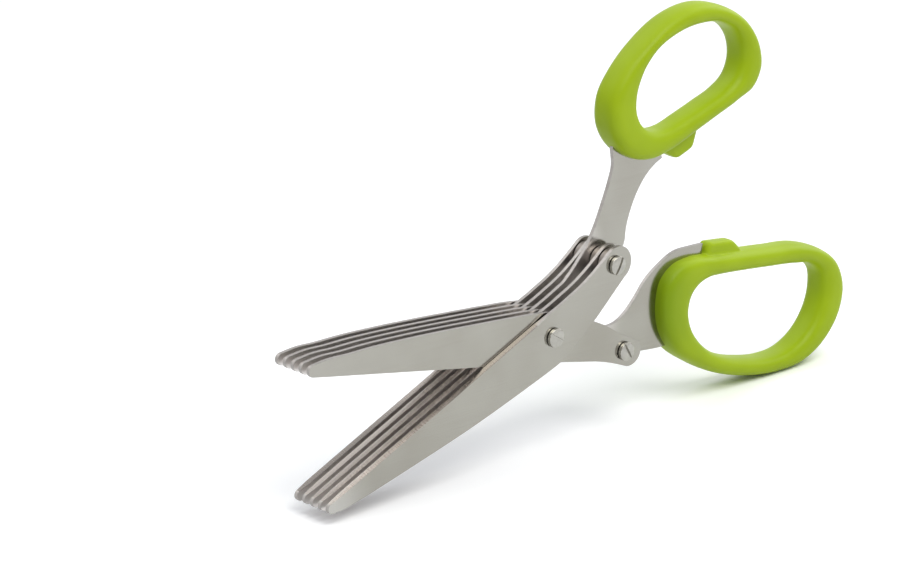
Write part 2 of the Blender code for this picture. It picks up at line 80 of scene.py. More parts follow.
armA = dict(
    letter="a", side=1, turn=20.05, shift=0.0,
    tip=(-88.15 * mm, -0.35 * mm), tipRadius=1.55 * mm, edgeRise=7.45 * mm,
    reach=88 * mm, spineDepth=8.6 * mm,
    rear=(28.4 * mm, 7.15 * mm), tailRadius=5.2 * mm, tailOver=(0.92 * mm, -0.07 * mm),
    # the next line also sets where the loop's painted shade near the shank fades out
    # the next line sets how strong the painted highlight on the tips is
    spacerRadius=4.5 * mm, tailFrom=-80, tipPaintedLight=0.8, paintedShadeFrom=(34 * mm, 48 * mm),
    loopStart=42.5 * mm, loopLength=63.3 * mm, loopInner=24.8 * mm, loopHeight=37.9 * mm,
    nubStart=61.0 * mm, nubLength=14.5 * mm, nubSlopes=(0.9, 0.8), shankLip=1.8 * mm,
    slotTurn=41.0, branch=-3, tang=(-1, -2, -3, -4), entry=-3,
    spineShares=[(0.965, 0.34), (0.90, 0.43), (0.757, 0.58), (0.64, 0.69), (0.53, 0.79),
                 (0.42, 0.875), (0.29, 0.94), (0.16, 0.98), (0.06, 1.0), (0.0, 0.985)],
    tailTopShares=[(0.186, 0.041), (0.333, 0.110), (0.489, 0.197), (0.646, 0.362),
                   (0.822, 0.644)],
    tailBackShares=[(0.274, 0.194), (0.538, 0.429), (0.773, 0.684)],
    shankInShares=[(0.0, 0.0), (0.17, 0.10), (0.295, 0.23), (0.374, 0.432), (0.482, 0.626),
                   (0.604, 0.788), (0.752, 0.922), (0.91, 0.99), (1.0, 1.0)],
    shankOutShares=[(0.0, 0.0), (0.120, 0.050), (0.232, 0.108), (0.418, 0.220),
                    (0.574, 0.358), (0.720, 0.515), (0.850, 0.665), (0.955, 0.815), (1.0, 1.0)],
    loopShares=[(0.308, 0.0, 0.350, 0.192), (0.466, 0.0, 0.466, 0.177),
                (0.624, 0.0, 0.595, 0.169), (0.782, 0.0, 0.724, 0.169),
                (0.905, 0.020, 0.806, 0.207), (0.977, 0.130, 0.855, 0.288),
                (1.0, 0.314, 0.878, 0.411), (0.970, 0.530, 0.860, 0.564),
                (0.870, 0.768, 0.787, 0.699), (0.725, 0.938, 0.668, 0.789),
                (0.529, 1.0, 0.521, 0.836), (0.343, 0.952, 0.384, 0.822),
                (0.168, 0.850, 0.286, 0.729), (0.047, 0.702, 0.226, 0.618),
                (0.0, 0.505, 0.196, 0.490), (0.022, 0.298, 0.202, 0.372),
                (0.092, 0.134, 0.238, 0.282), (0.190, 0.034, 0.288, 0.226)],
)

armB = dict(
    letter="b", side=-1, turn=-6.47, shift=stack["shift"],
    tip=(-87.45 * mm, 0.15 * mm), tipRadius=1.75 * mm, edgeRise=8.0 * mm,
    reach=88 * mm, spineDepth=7.2 * mm,
    rear=(30.8 * mm, 7.9 * mm), tailRadius=4.7 * mm, tailOver=(1.9 * mm, 0.2 * mm),
    # the next line also sets where the loop's painted shade near the shank fades out
    # the next line sets how strong the painted highlight on the tips is
    spacerRadius=4.0 * mm, tailFrom=-32, tipPaintedLight=0.2, paintedShadeFrom=(47 * mm, 63 * mm),
    loopStart=45.6 * mm, loopLength=83.4 * mm, loopInner=-16.4 * mm, loopHeight=40.6 * mm,
    nubStart=66.9 * mm, nubLength=15.8 * mm, nubSlopes=(0.25, 1.3), shankLip=3.1 * mm,
    slotTurn=-55.0, branch=-2, tang=(-1, -2, -3, -4, -5), entry=-6,
    spineShares=[(0.945, 0.358), (0.856, 0.458), (0.775, 0.574), (0.62, 0.722), (0.445, 0.836),
                 (0.30, 0.907), (0.145, 0.975), (0.06, 1.0), (0.0, 0.978)],
    tailTopShares=[(0.155, 0.08), (0.416, 0.25), (0.677, 0.43), (0.890, 0.72)],
    tailBackShares=[(0.271, 0.114), (0.503, 0.381), (0.730, 0.632), (0.900, 0.883)],
    shankInShares=[(0.0, 0.0), (0.070, -0.054), (0.127, -0.109), (0.159, -0.122),
                   (0.202, -0.110), (0.254, -0.064), (0.325, 0.058), (0.395, 0.243),
                   (0.487, 0.533), (0.583, 0.722), (0.733, 0.925), (0.896, 0.980), (1.0, 1.0)],
    shankOutShares=[(0.0, 0.0), (0.35, 0.40), (0.68, 0.60), (0.94, 0.45), (1.0, 0.33)],
    loopShares=[(0.300, 0.0, 0.325, 0.173), (0.460, 0.0, 0.448, 0.165),
                (0.604, 0.0, 0.580, 0.163), (0.750, 0.004, 0.724, 0.165),
                (0.862, 0.066, 0.814, 0.184), (0.953, 0.180, 0.863, 0.256),
                (1.003, 0.375, 0.879, 0.416), (0.994, 0.589, 0.862, 0.564),
                (0.934, 0.786, 0.814, 0.712), (0.826, 0.941, 0.736, 0.818),
                (0.676, 1.0, 0.640, 0.857), (0.506, 0.990, 0.520, 0.846),
                (0.361, 0.933, 0.408, 0.806), (0.231, 0.830, 0.320, 0.740),
                (0.116, 0.697, 0.249, 0.635), (0.051, 0.530, 0.204, 0.518),
                (0.027, 0.325, 0.187, 0.400), (0.039, 0.158, 0.199, 0.292),
                (0.089, 0.050, 0.236, 0.216), (0.168, 0.004, 0.278, 0.182)],
)


# Curves and outlines, all as arrays of (u, v)

curveSteps = 6      # points to each stretch of a smooth outline


def smoothCurve(points, steps=curveSteps, closed=False):
    # A cubic through the points. The tangent at a point is the mean of the slopes on its two
    # sides, each weighted by the length of the other side.
    p = np.asarray(points, float)
    back = p - np.roll(p, 1, axis=0)
    ahead = np.roll(p, -1, axis=0) - p
    backRun = np.linalg.norm(back, axis=1)[:, None]
    aheadRun = np.linalg.norm(ahead, axis=1)[:, None]
    tangent = (back / backRun * aheadRun + ahead / aheadRun * backRun) / (backRun + aheadRun)
    if not closed:
        tangent[0], tangent[-1] = ahead[0] / aheadRun[0], back[-1] / backRun[-1]
    last = len(p) if closed else len(p) - 1
    start, end = p[:last, None], np.roll(p, -1, axis=0)[:last, None]
    leave, arrive = tangent[:last, None], np.roll(tangent, -1, axis=0)[:last, None]
    run = aheadRun[:last, None]
    t = (np.arange(steps) / steps)[None, :, None]
    ease = t * t * (3 - 2 * t)
    curve = start * (1 - ease) + end * ease
    curve = curve + leave * run * t * (1 - t) ** 2 + arrive * run * t * t * (t - 1)
    curve = curve.reshape(-1, p.shape[1])
    return curve if closed else np.vstack([curve, p[-1]])


def arcPoints(centre, radius, startAngle, endAngle, steps):
    # Points on a circle round the centre, from one angle in degrees to the other
    a = np.radians(np.linspace(startAngle, endAngle, steps + 1))
    return np.asarray(centre) + radius * np.column_stack([np.cos(a), np.sin(a)])


def roundCorners(points, radius, steps):
    # Each corner of a closed outline gives way to a parabola that starts and ends one radius
    # away along its two sides
    p = np.asarray(points, float)
    before, after = np.roll(p, 1, axis=0), np.roll(p, -1, axis=0)
    start = p + (before - p) / np.linalg.norm(before - p, axis=1)[:, None] * radius
    end = p + (after - p) / np.linalg.norm(after - p, axis=1)[:, None] * radius
    t = np.linspace(0, 1, steps + 1)[None, :, None]
    curve = start[:, None] * (1 - t) ** 2 + p[:, None] * 2 * t * (1 - t) + end[:, None] * t * t
    return curve.reshape(-1, 2)


def inwardNormals(points):
    # Across the mean direction of the two sides that meet at each point of a closed outline
    back = points - np.roll(points, 1, axis=0)
    ahead = np.roll(points, -1, axis=0) - points
    back /= np.linalg.norm(back, axis=1)[:, None]
    ahead /= np.linalg.norm(ahead, axis=1)[:, None]
    along = back + ahead
    along /= np.linalg.norm(along, axis=1)[:, None]
    return np.column_stack([-along[:, 1], along[:, 0]])


def tailCentre(arm):
    # The centre of the tail's round end, a little past the rear screw
    return np.array(arm["rear"]) + np.array(arm["tailOver"])


def tailBack(arm):
    # The tail's far side, from the blade's back to the foot of the round end
    low = -arm["spineDepth"] * arm["spineShares"][-1][1]
    high = tailCentre(arm)[1] - arm["tailRadius"]
    shares = np.array(arm["tailBackShares"])
    return np.column_stack([arm["rear"][0] * shares[:, 0], low + (high - low) * shares[:, 1]])


def tailTop(arm):
    # The tail's cutting side, from the heel of the cutting edge to the top of the round end
    high = tailCentre(arm)[1] + arm["tailRadius"]
    shares = np.array(arm["tailTopShares"])
    rise = arm["edgeRise"] + (high - arm["edgeRise"]) * shares[:, 1]
    return np.column_stack([arm["rear"][0] * shares[:, 0], rise])


def loopPoints(arm, first):
    # The loop's outer outline (first = 0) or its finger hole (first = 2)
    shares = np.array(arm["loopShares"])[:, first:first + 2]
    return np.array([arm["loopStart"], arm["loopInner"]]) + shares * np.array(
        [arm["loopLength"], arm["loopHeight"]])


def between(root, end, shares):
    # Points at shares of the way from the root to the end, along u and along v
    return np.asarray(root) + (np.asarray(end) - np.asarray(root)) * np.array(shares)


def shankOutline(arm, wall=3.4 * mm):
    # The shank from the tail to its end inside the loop, inner side first. wall is the plastic
    # between its hidden end and the finger hole. Arm A's shank leaves from the foot of the
    # tail's round end, arm B's from the tail's far side.
    innerRoot = tailBack(arm)[-2]
    if arm["side"] > 0:
        innerRoot = tailCentre(arm) - np.array([0, arm["tailRadius"]])
    innerEnd = np.array([arm["nubStart"] - stack["fit"], arm["loopInner"] - arm["shankLip"]])
    outerRoot = tailTop(arm)[arm["branch"]]
    outer, hole = loopPoints(arm, 0), loopPoints(arm, 2)
    stations = list(arm["tang"])
    inwards = outer[stations] - hole[stations]
    inwards /= np.linalg.norm(inwards, axis=1)[:, None]
    tang = hole[stations] + inwards * wall
    corner = [[innerEnd[0], arm["loopInner"] + wall]]
    innerSide = smoothCurve(between(innerRoot, innerEnd, arm["shankInShares"]))
    outerSide = smoothCurve(between(outerRoot, outer[arm["entry"]], arm["shankOutShares"]))
    return np.vstack([innerSide, corner, smoothCurve(tang, 4), outerSide[::-1]])


plateShape = dict(tipArc=(95, 262), tipSteps=20, tailArcEnd=98, tailSteps=30, edgeSteps=40,
                  groundTip=3,                      # points of the tip that are ground as well
                  runout=6 * mm)                    # over which the grinding eases in


def plateOutline(arm, withShank):
    # A blade's outline, counter-clockwise from the top of its tip, and how far each point is
    # ground: 0 on the tail and the back, 1 along the cutting edge
    look = plateShape
    tip = arcPoints(arm["tip"], arm["tipRadius"], *look["tipArc"], look["tipSteps"])
    shares = np.array(arm["spineShares"])
    spine = np.column_stack([-arm["reach"] * shares[:, 0], -arm["spineDepth"] * shares[:, 1]])
    inner = tailBack(arm)
    if withShank and arm["side"] < 0:
        inner = inner[:-2]
    back = smoothCurve(np.vstack([tip[-1:], spine, inner]))
    if withShank:
        end = shankOutline(arm)
        top = tailTop(arm)[:arm["branch"]]
    else:
        end = arcPoints(tailCentre(arm), arm["tailRadius"], arm["tailFrom"], look["tailArcEnd"],
                        look["tailSteps"])
        top = tailTop(arm)
    heel = np.array([[0, arm["edgeRise"]]])
    top = smoothCurve(np.vstack([end[-1:], top[::-1], heel]))
    edge = heel + (tip[:1] - heel) * np.linspace(0, 1, look["edgeSteps"] + 1)[1:-1, None]
    points = np.vstack([tip, back[1:], end, top[1:], edge])
    onEdge = np.zeros(len(points))
    onEdge[-len(edge):] = 1
    onEdge[:look["groundTip"]] = 1
    run = np.minimum(-points[:, 0], points[:, 0] - arm["tip"][0] + arm["tipRadius"])
    run = np.clip(run / look["runout"], 0, 1)
    return points, onEdge * run * run * (3 - 2 * run)


# Meshes

def newPiece(name, verts, faces, materials=(), faceMaterials=None):
    # faceMaterials says, for each face, which of the materials it has
    mesh = bpy.data.meshes.new(name)
    mesh.from_pydata(np.asarray(verts, float).tolist(), [], [tuple(f) for f in faces])
    for material in materials:
        mesh.materials.append(material)
    if faceMaterials is not None:
        mesh.polygons.foreach_set("material_index", np.asarray(faceMaterials, dtype=np.int32))
    mesh.update()
    mesh.shade_smooth()
    piece = bpy.data.objects.new(name, mesh)
    bpy.context.scene.collection.objects.link(piece)
    return piece


def gridFaces(rows, columns, closeRows=False):
    # Quads between neighbouring rows and columns of a grid of points, row by row. Each row is
    # a closed ring, and with closeRows the last row joins the first.
    r = np.arange(rows if closeRows else rows - 1)[:, None]
    c = np.arange(columns)[None, :]
    nextR, nextC = (r + 1) % rows, (c + 1) % columns
    quads = np.stack([r * columns + c, r * columns + nextC,
                      nextR * columns + nextC, nextR * columns + c], axis=-1)
    return quads.reshape(-1, 4)


def placed(arm, u, y, v):
    # Arm coordinates to the scene: v is turned over for arm B, the arm is turned up about the
    # pivot, and y counts from the first blade's front face. Takes arrays or single numbers.
    a = math.radians(arm["turn"])
    z = arm["side"] * v
    return np.stack([stack["pivot"].x + u * math.cos(a) - z * math.sin(a),
                     stack["front"] + y + 0 * u,
                     stack["pivot"].z + u * math.sin(a) + z * math.cos(a)], axis=-1)


holeSides = 64


def slab(arm, outline, insets, depths, holes=()):
    # A plate with shaped edges: row k of the rim is the outline moved inwards by insets[k] at
    # the depth depths[k]. The first and last rows close with flat faces, cut out round each
    # hole (u, v, radius). Returns points, faces and the row of each face, -1 on the flats and
    # -2 in the holes.
    rows, count = insets.shape
    rim = outline[None] + inwardNormals(outline)[None] * insets[:, :, None]
    depth = np.broadcast_to(np.asarray(depths).reshape(rows, -1), (rows, count))
    verts = [placed(arm, rim[:, :, 0], depth, rim[:, :, 1]).reshape(-1, 3)]
    faces = [gridFaces(rows, count)]
    kinds = [np.repeat(np.arange(rows - 1), count)]
    first, last = [np.arange(count)], [np.arange(count) + (rows - 1) * count]
    flats = [[Vector((*p, 0)) for p in rim[0]]]
    used = rows * count
    for u, v, radius in holes:
        ring = arcPoints((u, v), radius, 0, -360, holeSides)[:-1]
        ends = np.broadcast_to(depth[[0, -1], :1], (2, holeSides))
        both = np.broadcast_to(ring[None], (2, holeSides, 2))
        verts.append(placed(arm, both[:, :, 0], ends, both[:, :, 1]).reshape(-1, 3))
        faces.append(gridFaces(2, holeSides) + used)
        kinds.append(np.full(holeSides, -2))
        flats.append([Vector((*p, 0)) for p in ring])
        first.append(np.arange(holeSides) + used)
        last.append(np.arange(holeSides) + used + holeSides)
        used += 2 * holeSides
    triangles = np.array(tessellate_polygon(flats))
    first, last = np.concatenate(first), np.concatenate(last)
    sides = [first[triangles], last[triangles][:, ::-1]]
    allFaces = [tuple(f) for block in faces for f in block.tolist()]
    allFaces += [tuple(f) for block in sides for f in block.tolist()]
    kinds = np.concatenate(kinds + [np.full(2 * len(triangles), -1)])
    return np.vstack(verts), allFaces, kinds


def faceOut(piece):
    # Makes all faces of a closed mesh point outwards
    work = bmesh.new()
    work.from_mesh(piece.data)
    bmesh.ops.remove_doubles(work, verts=work.verts, dist=0.001 * mm)
    bmesh.ops.recalc_face_normals(work, faces=work.faces)
    work.to_mesh(piece.data)
    work.free()


def applyModifiers(piece):
    # Gives the piece the mesh that its modifiers make of it
    shown = bpy.context.evaluated_depsgraph_get()
    mesh = bpy.data.meshes.new_from_object(piece.evaluated_get(shown))
    piece.modifiers.clear()
    piece.data = mesh


# Shading: arithmetic on sockets, and one method for every other node

class Signal:
    # The output of a shader node, which can be added, multiplied and so on like a number
    def __init__(self, paint, socket):
        self.paint, self.socket = paint, socket

    def math(self, operation, *values):
        return self.paint.node("ShaderNodeMath", {"operation": operation},
                               dict(enumerate((self,) + values)))

    def __add__(self, other):
        return self.math("ADD", other)

    def __mul__(self, other):
        return self.math("MULTIPLY", other)

    def __pow__(self, other):
        return self.math("POWER", other)

    def __rsub__(self, other):
        return self.paint.node("ShaderNodeMath", {"operation": "SUBTRACT"}, {0: other, 1: self})

    __radd__ = __add__

    def ease(self, low, high):
        # 0 below the low value, 1 above the high one, smooth in between
        return self.paint.node("ShaderNodeMapRange", {"interpolation_type": "SMOOTHSTEP"},
                               {"Value": self, "From Min": low, "From Max": high})

    def blend(self, low, high):
        # The colour low where the signal is 0 and high where it is 1
        return self.paint.node("ShaderNodeMix", {"data_type": "RGBA"},
                               {"Factor": self, 6: low, 7: high}, out=2)


class Paint:
    # A material, with constant values for its shader's sockets (an underscore for each space)
    def __init__(self, name, **constants):
        self.material = bpy.data.materials.new(name)
        self.material.use_nodes = True
        self.tree = self.material.node_tree
        self.shader = self.tree.nodes["Principled BSDF"]
        self.feed({key.replace("_", " "): value for key, value in constants.items()})

    def node(self, kind, settings=None, sockets=None, out=0):
        made = self.tree.nodes.new(kind)
        for key, value in (settings or {}).items():
            setattr(made, key, value)
        self.feed(sockets or {}, made)
        return Signal(self, made.outputs[out])

    def feed(self, sockets, node=None):
        for key, value in sockets.items():
            socket = (node or self.shader).inputs[key]
            if isinstance(value, Signal):
                self.tree.links.new(value.socket, socket)
            else:
                socket.default_value = value

    def place(self, turn=0.0, centre=(0, 0, 0), scale=(1, 1, 1)):
        # Object coordinates from a centre, turned about Y and stretched
        object3d = self.node("ShaderNodeTexCoord", out=3)
        shifted = self.node("ShaderNodeVectorMath", {"operation": "SUBTRACT"},
                            {0: object3d, 1: tuple(centre)})
        return self.node("ShaderNodeMapping", {"vector_type": "POINT"},
                         {"Vector": shifted, "Rotation": (0, math.radians(turn), 0),
                          "Scale": scale})

    def onArm(self, arm, scale=(1, 1, 1)):
        # Object coordinates in the arm's own directions, from the pivot
        return self.place(arm["turn"], stack["pivot"], scale)

    def parts(self, vector):
        # The x, y and z of a vector, as three signals
        split = self.node("ShaderNodeSeparateXYZ", None, {0: vector})
        return [Signal(self, socket) for socket in split.socket.node.outputs]

    def noise(self, where, scale, detail=2.0, roughness=0.5):
        return self.node("ShaderNodeTexNoise", None,
                         {"Vector": where, "Scale": scale, "Detail": detail,
                          "Roughness": roughness})

    def bump(self, height, strength, distance):
        normal = self.node("ShaderNodeBump", None,
                           {"Strength": strength, "Distance": distance, "Height": height})
        self.feed({"Normal": normal})


def colour(red, green, blue):
    # A colour as it looks on screen, in 0 to 255, made linear for the shader
    part = np.array([red, green, blue]) / 255
    line = np.where(part <= 0.04045, part / 12.92, ((part + 0.055) / 1.055) ** 2.4)
    return (*line.tolist(), 1.0)


# tip is a painted highlight on the blades' ends
steelLook = dict(light=colour(173, 171, 163), dark=colour(162, 159, 150), tip=colour(204, 203, 198),
                 # the two inner tones are painted light, which brightens the faces inside the stack
                 paintedLitInnerLight=colour(227, 223, 220), paintedLitInnerDark=colour(219, 215, 212),
                 grainLength=22, grainWidth=2600, clouds=45.0,
                 roughness=0.11, innerRoughness=0.24,
                 shankFrom=(-6 * mm, 5 * mm),      # past the rear screw, where the inner faces' painted light gives way to the rubbed tone on the shank
                 tipPaintedLightFrom=(72 * mm, 88 * mm))       # from the pivot, where a painted highlight makes the tips lighter


def bladeSteel(arm, inner):
    # Satin rolled steel: long fine grinding lines along the arm, and faint clouds. The faces inside
    # the stack are painted brighter: painted light in the narrow gaps between the blades.
    look = steelLook
    paint = Paint(("paintedLitInnerSteel" if inner else "bladeSteel") + arm["letter"].upper(), Metallic=1.0)
    lines = paint.onArm(arm, (look["grainLength"], 1, look["grainWidth"]))
    grain = paint.noise(lines, 1.0, 3.0, 0.6)
    clouds = paint.noise(paint.place(), look["clouds"])
    shade = (clouds * 0.7 + grain * 0.3).ease(0.3, 0.7)
    rubbed = shade.blend(look["dark"], look["light"])
    reach = paint.parts(paint.onArm(arm))[0]
    if inner:
        # inside the stack the base colour is painted light, brighter than the rubbed outer faces
        bright = shade.blend(look["paintedLitInnerDark"], look["paintedLitInnerLight"])
        shank = reach.ease(*(arm["rear"][0] + past for past in look["shankFrom"]))
        paint.feed({"Base Color": shank.blend(bright, rubbed)})
        rough = look["innerRoughness"] - shank * (look["innerRoughness"] - look["roughness"])
    else:
        # painted highlight: the tips are made lighter
        tip = (0 - reach).ease(*look["tipPaintedLightFrom"]) * arm["tipPaintedLight"]
        paint.feed({"Base Color": tip.blend(rubbed, look["tip"])})
        rough = look["roughness"]
    paint.feed({"Roughness": clouds * 0.06 + grain * 0.05 + rough})
    paint.bump(grain, 0.10, 0.02 * mm)
    return paint.material


edgeLook = dict(dark=colour(158, 154, 150), light=colour(175, 171, 168), roughness=0.30,
                strokes=(900, 60, 900))


def edgeSteel(arm):
    # The cut edges: bright and tumbled, with fine strokes across the plate
    look = edgeLook
    paint = Paint("edgeSteel" + arm["letter"].upper(), Metallic=1.0)
    strokes = paint.noise(paint.onArm(arm, look["strokes"]), 1.0)
    paint.feed({"Base Color": strokes.ease(0.2, 0.8).blend(look["dark"], look["light"])})
    paint.feed({"Roughness": look["roughness"] + strokes * 0.12})
    paint.bump(strokes, 0.10, 0.02 * mm)
    return paint.material


groundLook = dict(tone=(147, 141, 136), roughness=0.25, lines=(6000, 40, 60),
                  platePaintedLight=(1.18, 1.03, 0.98, 1.04, 0.82),     # painted light and shade: shares of the tone, from front to back
                  groundPaintedLightFrom=(38 * mm, 62 * mm))


def groundSteel(arm, index):
    # The ground cutting edge, with very fine grinding lines square to the edge. Towards the tips its
    # tone carries painted light and shade: the front plate's is the brightest, and the last one's
    # the dullest.
    look = groundLook
    tone = colour(*look["tone"])
    # painted light and shade: each plate's tone towards the tips
    tip = colour(*(np.array(look["tone"]) * look["platePaintedLight"][index]))
    paint = Paint(f"groundSteel{arm['letter'].upper()}{index + 1}", Metallic=1.0)
    reach = paint.parts(paint.onArm(arm))[0]
    paint.feed({"Base Color": (0 - reach).ease(*look["groundPaintedLightFrom"]).blend(tone, tip)})
    grain = paint.noise(paint.onArm(arm, look["lines"]), 1.0)
    paint.feed({"Roughness": look["roughness"] + grain * 0.05})
    paint.bump(grain, 0.01, 0.005 * mm)
    return paint.material


turnedLook = dict(rings=9000.0, clouds=700.0)
screwLook = dict(dark=colour(172, 170, 163), light=colour(184, 182, 175), roughness=0.17)
spacerLook = dict(dark=colour(129, 122, 117), light=colour(141, 135, 129), roughness=0.31)


def turnedSteel(name, centre, look):
    # Steel with faint rings turned round the fastener's axis, polished on the screws and dull
    # on the spacers
    paint = Paint(name, Metallic=1.0)
    around = paint.place(0.0, centre)
    across, _, up = paint.parts(around)
    radius = (across * across + up * up) ** 0.5
    rings = (radius * turnedLook["rings"]).math("SINE")
    clouds = paint.noise(around, turnedLook["clouds"])
    paint.feed({"Base Color": clouds.ease(0.3, 0.7).blend(look["dark"], look["light"])})
    paint.feed({"Roughness": look["roughness"] + clouds * 0.10})
    paint.bump(rings * 0.5 + clouds, 0.12, 0.01 * mm)
    return paint.material


# deep is painted shade, for the end of the loop at the shank
plasticLook = dict(body=colour(156, 181, 12), pale=colour(163, 188, 20),
                   deep=colour(128, 157, 4), roughness=0.35, mottle=60.0, grain=2600.0)


def loopPlastic(arm):
    # Smooth moulded plastic: a faint mottle in the colour and a very fine grain. At the end of the
    # loop where it is moulded round the shank its colour is darker: painted shade.
    look = plasticLook
    paint = Paint("loopPlastic" + arm["letter"].upper(), Specular_IOR_Level=0.22)
    mottle = paint.noise(paint.place(), look["mottle"])
    grain = paint.noise(paint.place(), look["grain"])
    reach = paint.parts(paint.onArm(arm))[0]
    tone = mottle.ease(0.3, 0.7).blend(look["body"], look["pale"])
    # painted shade: darker towards the end moulded round the shank
    deep = 1 - reach.ease(*arm["paintedShadeFrom"])
    paint.feed({"Base Color": deep.blend(tone, look["deep"])})
    paint.feed({"Roughness": look["roughness"] + mottle * 0.06 + grain * 0.04})
    paint.bump(grain, 0.08, 0.03 * mm)
    return paint.material


# Blades

bladeShape = dict(rim=0.08 * mm,        # rounding of the cut edges
                  fall=0.4 * mm,        # how far back the grinding takes the front face
                  land=0.2 * mm,        # what it leaves of the plate's thickness
                  lip=0.34 * mm,        # how far arm A's edge leans out of the plate's back
                  lipWidth=1.3 * mm,
                  sharp=18)             # degrees between faces that meet in a sharp edge

# The four finishes of a blade, and the row of faces on the back of arm A's lip
finishSlots = dict(inside=0, edge=1, ground=2, outside=3)
lipRow = 6


def bladePiece(arm, index, inside, edge, outside):
    # The rim's rows run from the front face to the back one: a small rounding, the cut edge,
    # and another rounding. Along the cutting edge the rows fall away to one face.
    look, full = bladeShape, stack["thickness"]
    outline, ground = plateOutline(arm, index == stack["plates"] // 2)
    rim, land = look["rim"], look["land"]
    depths = np.array([0, rim * 0.3, rim, full - land, full - rim, full - rim * 0.3, full])
    share = np.array([1, 0.3, 0, 0, 0, 0.3, 1])
    slope = np.clip(1 - depths / (full - land), 0, 1)
    insets = rim * (1 - ground[None]) * share[:, None] + ground[None] * look["fall"] * slope[:, None]
    depths = np.repeat(depths[:, None], len(ground), axis=1)
    if arm["side"] > 0:
        # the edge is set over towards the blade it cuts against, by a lip that leans out of
        # the plate's back. The last row, just inside the rim, brings the back level again.
        depths[3:] += look["lip"] * ground
        depths = np.vstack([depths, np.full((1, len(ground)), full)])
        insets = np.vstack([insets, rim * 1.4 + ground * look["lipWidth"]])
    else:
        depths, insets = full - depths[::-1], insets[::-1]
    front = arm["shift"] + index * stack["step"]
    holes = [(0, 0, stack["pivotSleeve"] + stack["fit"]),
             (*arm["rear"], stack["rearSleeve"] + stack["fit"])]
    verts, faces, kinds = slab(arm, outline, insets, depths + front, holes)
    slots = np.where((kinds == -1) | (kinds == lipRow), finishSlots["inside"], finishSlots["edge"])
    # of the flat faces, those on the front come first
    flats = np.flatnonzero(kinds == -1)
    if index == 0:
        slots[flats[:len(flats) // 2]] = finishSlots["outside"]
    if index == stack["plates"] - 1:
        slots[flats[len(flats) // 2:]] = finishSlots["outside"]
    onGround = np.tile(ground > 0.5, len(depths) - 1)
    rimFaces = kinds >= 0
    groundFaces = np.flatnonzero(rimFaces)[onGround & (kinds[rimFaces] < lipRow)]
    slots[groundFaces] = finishSlots["ground"]
    finishes = (inside, edge, groundSteel(arm, index), outside)
    piece = newPiece(f"blade{arm['letter'].upper()}{index + 1}", verts, faces, finishes, slots)
    faceOut(piece)
    piece.data.set_sharp_from_angle(angle=math.radians(look["sharp"]))
    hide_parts(f"blade_{arm['letter']}{index + 1}")
    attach(piece, "arm_" + arm["letter"])


for arm in (armA, armB):
    finishes = bladeSteel(arm, True), edgeSteel(arm), bladeSteel(arm, False)
    for index in range(stack["plates"]):
        bladePiece(arm, index, *finishes)
print("blades made")


# Turned pieces: spacers, screws and sleeve nuts

turnedSharp = 30      # degrees between faces that meet in a sharp edge


def onAxis(arm, place):
    # A place (u, v) in the scene, level with the first blade's front face
    return Vector(placed(arm, np.array(place[0]), np.array(0.0), np.array(place[1])))


def turned(name, arm, place, profile, sides, material):
    # A closed profile of (y, radius) pairs carried round an axis along Y at the place (u, v)
    p = np.asarray(profile, float)
    a = np.linspace(0, 2 * math.pi, sides, endpoint=False)[:, None]
    centre = onAxis(arm, place)
    verts = np.stack([centre.x + p[None, :, 1] * np.cos(a),
                      stack["front"] + p[None, :, 0] + 0 * a,
                      centre.z + p[None, :, 1] * np.sin(a)], axis=-1)
    piece = newPiece(name, verts.reshape(-1, 3), gridFaces(sides, len(p), closeRows=True).tolist(),
                     [material])
    faceOut(piece)
    piece.data.set_sharp_from_angle(angle=math.radians(turnedSharp))
    return piece


screws = dict(pivotHead=2.85 * mm, rearHead=2.8 * mm,       # radii of the heads and flanges
              headHeight=1.35 * mm, headEdge=0.9 * mm, wall=0.6 * mm, flange=1.2 * mm,
              slotWidth=0.8 * mm, slotDepth=0.6 * mm, rounding=0.12 * mm,
              pivotSlotTurn=-54.0, sides=96, domeSteps=14)


def cutSlot(screw, centre, turn, radius, top):
    # A box across the head takes out the slot. Half of the box stands above the head's top.
    size = Vector((2.4 * radius, 2 * screws["slotDepth"], screws["slotWidth"]))
    work = bmesh.new()
    at = Matrix.Translation((centre.x, top, centre.z)) @ Matrix.Rotation(-turn, 4, "Y")
    bmesh.ops.create_cube(work, size=1.0, matrix=at @ Matrix.Diagonal((*size, 1.0)))
    mesh = bpy.data.meshes.new("slotBox")
    work.to_mesh(mesh)
    work.free()
    box = bpy.data.objects.new("slotBox", mesh)
    bpy.context.scene.collection.objects.link(box)
    cut = screw.modifiers.new("slot", "BOOLEAN")
    cut.operation, cut.solver, cut.object = "DIFFERENCE", "EXACT", box
    applyModifiers(screw)
    bpy.data.objects.remove(box)
    screw.data.set_sharp_from_angle(angle=math.radians(turnedSharp))


